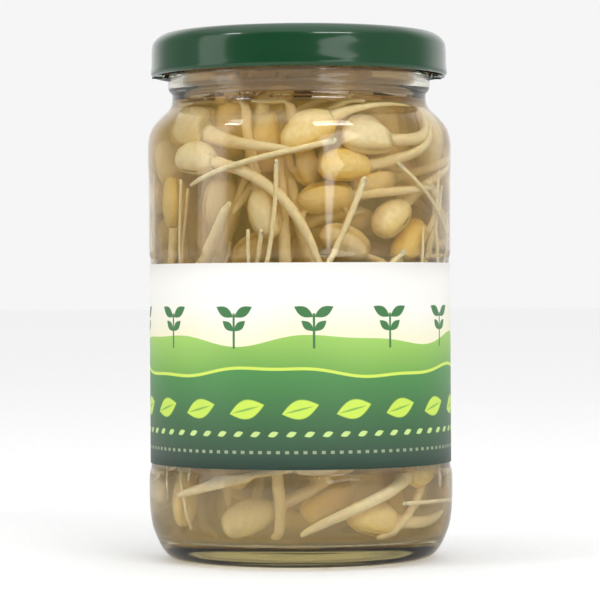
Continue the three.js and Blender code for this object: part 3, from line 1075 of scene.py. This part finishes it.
class Rod:
    """A rod of unit radius with a ring at every whole height, closed to a point at both ends.

    Every sprout is this rod, bent and swollen: root, stalk, then the two seed halves."""

    def __init__(self, sides, stalk_rings, bean_rings):
        self.stalk_rings = stalk_rings
        self.bean_rings = bean_rings
        rings = range(stalk_rings + bean_rings)
        bm = spin_line([(0, 0, 0), *((1, 0, i) for i in rings), (0, 0, rings[-1])], sides, 1e-5)
        bmesh.ops.reverse_faces(bm, faces=bm.faces[:])
        self.mesh = bpy.data.meshes.new("rod")
        bm.to_mesh(self.mesh)
        bm.free()
        places = np.array([vert.co for vert in self.mesh.vertices])
        self.ring = np.rint(places[:, 2]).astype(int)
        self.swell = np.rint(np.hypot(places[:, 0], places[:, 1]))
        self.angle = np.arctan2(places[:, 1], places[:, 0])

    def stalk(self, sprout):
        """The rod's places and flesh on the stalk; ring 0 is the root's tip."""
        shares = 1 - np.arange(self.stalk_rings) / (self.stalk_rings - 1)
        along = sprout.stalk_points(shares + 0.02) - sprout.stalk_points(shares - 0.02)
        along /= np.linalg.norm(along, axis=1)[:, None]
        side = np.cross(sprout.across, along)
        side /= np.linalg.norm(side, axis=1)[:, None]
        top = np.cross(along, side)
        ring = np.minimum(self.ring, self.stalk_rings - 1)
        radius = (sprout.stalk_radius(shares)[ring] * self.swell)[:, None]
        sine, cosine = np.sin(self.angle)[:, None], np.cos(self.angle)[:, None]
        outwards = side[ring] * sine + top[ring] * cosine
        flesh = np.zeros((len(ring), 3))
        flesh[:, 0] = 1 - shares[ring]
        return sprout.stalk_points(shares)[ring] + outwards * radius, flesh

    def bean(self, sprout):
        """The rod's places and flesh on the two seed halves, with the seam between them."""
        half_length, half_width, half_depth = sprout.size
        angle = self.angle - 0.3 * np.sin(2 * self.angle)
        step = np.maximum(0, self.ring - self.stalk_rings + 1) / self.bean_rings
        turn = np.pi * (0.06 + 0.94 * step)
        swell = self.swell * np.abs(np.sin(turn)) ** 0.84
        blunt = 1 - 0.10 * np.cos(turn) ** 3
        seam = np.exp(-(np.sin(angle) / 0.15) ** 2)
        lip = np.exp(-((np.abs(np.sin(angle)) - 0.3) / 0.14) ** 2)
        open_end = 0.5 + 0.5 * np.cos(turn)
        depth = (1 - BEAN["groove"]) * (0.55 + 0.45 * np.cos(angle)) * (0.75 + 0.6 * open_end)
        groove = 1 - depth * seam + 0.03 * lip
        across = np.cos(angle) * groove * swell * blunt * half_width
        sag = -0.07 * half_width * np.cos(2 * turn)
        flat = np.sin(angle) * swell * blunt * half_depth
        slip = 0.03 * np.sign(np.sin(angle)) * (1 - seam) * half_length * swell
        places = (
            sprout.centre
            + sprout.axis * (np.cos(turn) * half_length + slip)[:, None]
            + sprout.across * (across + sag)[:, None]
            - sprout.flat * flat[:, None])
        return places, np.column_stack((np.ones_like(seam), seam * swell, np.ones_like(seam)))

    def add(self, bm, sprout, tone):
        """Add the rod, shaped as one sprout, to a bmesh."""
        in_bean = (self.ring >= self.stalk_rings)[:, None]
        stalk, stalk_flesh = self.stalk(sprout)
        bean, bean_flesh = self.bean(sprout)
        places = np.where(in_bean, bean, stalk) * MM
        flesh = np.where(in_bean, bean_flesh, stalk_flesh)
        flesh = np.column_stack((np.full(len(flesh), tone), flesh))
        mesh = self.mesh.copy()
        mesh.vertices.foreach_set("co", places.ravel())
        layer = mesh.attributes.new("flesh", "FLOAT_COLOR", "POINT")
        layer.data.foreach_set("color", flesh.ravel())
        bm.from_mesh(mesh)
        bpy.data.meshes.remove(mesh)


def flesh_material(values):
    """Waxy seed halves and wet stalks: colour by sprout, paler at the roots, with painted shade
    darkening the seam.
    """
    material, tree, shader = new_material(
        "sprout_flesh", Subsurface_Weight=0.25, Subsurface_Radius=(1.0, 0.6, 0.25),
        Subsurface_Scale=1.6 * MM, IOR=1.38)
    layer = tree.nodes.new("ShaderNodeVertexColor")
    layer.layer_name = "flesh"
    split = new_node(tree, "ShaderNodeSeparateColor", Color=layer.outputs["Color"])
    tone, along, seam = (Wire(split.outputs[part]) for part in ("Red", "Green", "Blue"))
    cloud = noise(tree, 4 * MM, 4)
    rim = seam.math("POWER", 0.12) * 0.5
    blush = (tone + rim + cloud * 0.8 - 0.5).clamped()
    seed = blended(tree, blush, values.pale, values.ripe)
    age = (along * 1.2 + cloud * 0.6 - 0.6).clamped()
    stalk = blended(tree, age, values.stalk, shaded(values.stalk, 1.12))
    # Painted shade: the colour is darkened along the seam's groove, as if shade fell in it
    seam_shade = (seam.math("POWER", 2.0) * 0.55).clamped()
    hilum = (noise(tree, 5 * MM, 1) - 0.56).over(0, 0.03) * (seam - 0.75).over(0, 0.2) * 0.85
    mottle = ((noise(tree, 1.1 * MM, 4) - 0.5) * 2.2 + 0.3).clamped() * 0.32
    colour = layered(tree, stalk, (
        (Wire(layer.outputs["Alpha"]), seed), (seam_shade, SEAM_SHADE), (hilum, HILUM), (mottle, MOTTLE)))
    set_values(shader, Base_Color=colour, Roughness=cloud * 0.2 + 0.34)
    bump(tree, shader, noise(tree, 0.9 * MM, 4) + cloud * 3, 0.16 * MM)
    return material


def sprouts_mesh(rod, sprouts, tones=None):
    """Sprouts in one mesh, each with its tone from pale to ripe; all are pale without tones."""
    bm = bmesh.new()
    for sprout in sprouts:
        rod.add(bm, sprout, tones(0, 1) ** TONE_LEAN if tones else 0)
    return bm


def check_place(node, bm):
    """The rule has to give the place that the solid has, or the sprouts aren't the same ones."""
    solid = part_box(node)
    for axis in range(3):
        places = [vert.co[axis] for vert in bm.verts]
        ends = zip((min(places), max(places)), (solid[0][axis], solid[1][axis]))
        if any(abs(place - end) > BOX_SLACK * MM for place, end in ends):
            raise RuntimeError(f"{node} isn't where the placing rule puts it")


class SPROUTJAR_OT_sprouts(Operator):
    """Make each sprout of the solids in fine form, and press more of them in between"""

    bl_idname = "sprout_jar.sprouts"
    bl_label = "Sprouts"

    def execute(self, context):
        values = context.scene.jar_sprouts
        draw = Draws(SEED)
        jarful = Jarful(draw)
        groups = [jarful.front_sprout(place) for place in FRONT_SPROUTS]
        groups += [jarful.tangle() for _ in range(TANGLE_COUNT)]
        tones = Draws(SEED + 1)
        flesh = flesh_material(values)
        rod = Rod(values.sides, *FINE_RINGS)
        for i, group in enumerate(groups, 1):
            node = f"sprouts_{i:02d}"
            bm = sprouts_mesh(rod, group, tones)
            check_place(node, bm)
            shown(f"{node}_fine", bm, (flesh,), BODY, (node,))

        loose_rod = Rod(PLAIN_SIDES, *LOOSE_RINGS)
        jarful.press = LAYER_PRESS
        for i, layer in enumerate(LAYERS, 1):
            jarful.gap, jarful.depth = layer["gap"], layer["depth"]
            found = jarful.loose_sprouts(round(values.more * layer["share"]))
            bm = sprouts_mesh(loose_rod, found, tones)
            shown(f"loose_sprouts_{i}", bm, (flesh,), BODY)

        bm = sprouts_mesh(rod, floating_sprouts(values.floating, Draws(SEED + 3)), tones)
        shown("floating_sprouts", bm, (flesh,), BODY)

        thread_rod = Rod(PLAIN_SIDES, *THREAD_RINGS)
        bm = sprouts_mesh(thread_rod, root_threads(values.threads, Draws(SEED + 4)))
        shown("root_threads", bm, (flesh,), BODY)
        return {"FINISHED"}


# Stage

def soft_lamp(name, azimuth, elevation, size, power, tilt=0, aim=0.06):
    """A rectangular lamp round the jar: azimuth 0 is at the camera, and grows to its right."""
    lamp = bpy.data.lights.new(name, "AREA")
    lamp.shape = "RECTANGLE"
    lamp.size, lamp.size_y = size
    lamp.energy = power
    holder = bpy.data.objects.new(name, lamp)
    bpy.context.collection.objects.link(holder)
    turn, rise = math.radians(azimuth), math.radians(elevation)
    reach = LAMP_DISTANCE * math.cos(rise)
    height = aim + LAMP_DISTANCE * math.sin(rise)
    holder.location = (reach * math.sin(turn), -reach * math.cos(turn), height)
    view = Vector((0, 0, aim)) - holder.location
    holder.rotation_euler = view.to_track_quat("-Z", "Y").to_euler()
    holder.rotation_euler.rotate_axis("Z", math.radians(tilt))
    return holder


def lighted_room(scene, values):
    """White air all round. A shiny face mirrors it dimmer from the sides, and dark from the
    camera's side, but white from above and from behind the jar."""
    world = bpy.data.worlds.new("studio_air")
    scene.world = world
    world.use_nodes = True
    tree = world.node_tree
    ray = new_node(tree, "ShaderNodeTexCoord").outputs["Generated"]
    turn = values.dark_azimuth
    facing = tree.nodes.new("ShaderNodeVectorMath")
    facing.operation = "DOT_PRODUCT"
    facing.inputs[1].default_value = (math.sin(turn), -math.cos(turn), 0)
    put(facing.inputs[0], ray)
    facing = Wire(facing.outputs["Value"])
    dark = facing.over(math.cos(values.dark_width / 2), DARK_SOFT)
    behind = (facing * -1).over(*BEHIND_LOBE)
    split = new_node(tree, "ShaderNodeSeparateXYZ", Vector=ray)
    above = Wire(split.outputs["Z"]).over(*ABOVE_LOBE)
    sides = values.mirrored_air
    mirrored = dark * (DARK_AIR - sides) + behind * (values.air - sides) + sides
    mirrored = mirrored + above * (mirrored * -1 + values.air)
    strength = glossy_ray(tree) * (mirrored - values.air) + values.air
    set_values(tree.nodes["Background"], Color=(1, 1, 1, 1), Strength=strength)


class SPROUTJAR_OT_stage(Operator):
    """Lay the pale floor, light it softly and set the camera at the photograph's angle"""

    bl_idname = "sprout_jar.stage"
    bl_label = "Studio"

    def execute(self, context):
        values = context.scene.jar_studio
        bm = bmesh.new()
        bmesh.ops.create_circle(bm, cap_ends=True, segments=64, radius=FLOOR_R)
        bmesh.ops.translate(bm, verts=bm.verts[:], vec=(0, 0, -FLOOR_DROP))
        mesh = bpy.data.meshes.new("floor")
        bm.to_mesh(mesh)
        bm.free()
        material, tree, shader = new_material("floor_paper", Roughness=0.9)
        paper = blended(tree, noise(tree, 0.3, 2), shaded(values.floor, FLOOR_DIM), values.floor)
        mirrored = shaded(values.floor, values.mirrored_floor)
        set_values(shader, Base_Color=blended(tree, glossy_ray(tree), paper, mirrored))
        mesh.materials.append(material)
        floor = bpy.data.objects.new("floor", mesh)
        context.collection.objects.link(floor)

        lighted_room(context.scene, values)
        for lamp in LAMPS:
            soft_lamp(*lamp)
        low = soft_lamp("low_fill", power=values.low_fill, **LOW_FILL)
        low.data.spread = LOW_FILL_SPREAD
        low.visible_glossy = False
        low.visible_transmission = False

        camera = bpy.data.cameras.new("photo_camera")
        camera.lens = values.lens
        camera.sensor_width = SENSOR
        camera.shift_y = SHIFT
        holder = bpy.data.objects.new("photo_camera", camera)
        context.collection.objects.link(holder)
        holder.location = (0, -values.distance, values.eye)
        holder.rotation_euler = (math.radians(90), values.roll, 0)
        context.scene.camera = holder
        rays = context.scene.cycles
        rays.max_bounces = 24
        rays.transmission_bounces = 20
        rays.transparent_max_bounces = 24
        rays.diffuse_bounces = 8
        rays.volume_bounces = 2
        context.scene.view_settings.view_transform = "Standard"
        return {"FINISHED"}


STEPS = (
    SPROUTJAR_OT_stage,
    SPROUTJAR_OT_glass,
    SPROUTJAR_OT_lid,
    SPROUTJAR_OT_label,
    SPROUTJAR_OT_brine,
    SPROUTJAR_OT_sprouts,
)


class SPROUTJAR_PT_panel(Panel):
    """The steps that build the jar"""

    bl_label = "Sprout Jar"
    bl_idname = "SPROUTJAR_PT_panel"
    bl_space_type = "VIEW_3D"
    bl_region_type = "UI"
    bl_category = "Sprout Jar"

    def draw(self, context):
        for step in STEPS:
            self.layout.operator(step.bl_idname)


def register():
    for group in SETTINGS.values():
        bpy.utils.register_class(group)
    for name, group in SETTINGS.items():
        setattr(bpy.types.Scene, name, PointerProperty(type=group))
    for step in STEPS:
        bpy.utils.register_class(step)
    bpy.utils.register_class(SPROUTJAR_PT_panel)


def unregister():
    bpy.utils.unregister_class(SPROUTJAR_PT_panel)
    for step in reversed(STEPS):
        bpy.utils.unregister_class(step)
    for name in SETTINGS:
        delattr(bpy.types.Scene, name)
    for group in SETTINGS.values():
        bpy.utils.unregister_class(group)


def main():
    register()
    bpy.ops.sprout_jar.stage()
    bpy.ops.sprout_jar.glass()
    bpy.ops.sprout_jar.lid()
    bpy.ops.sprout_jar.label()
    bpy.ops.sprout_jar.brine()
    bpy.ops.sprout_jar.sprouts()


if __name__ == "__main__":
    main()
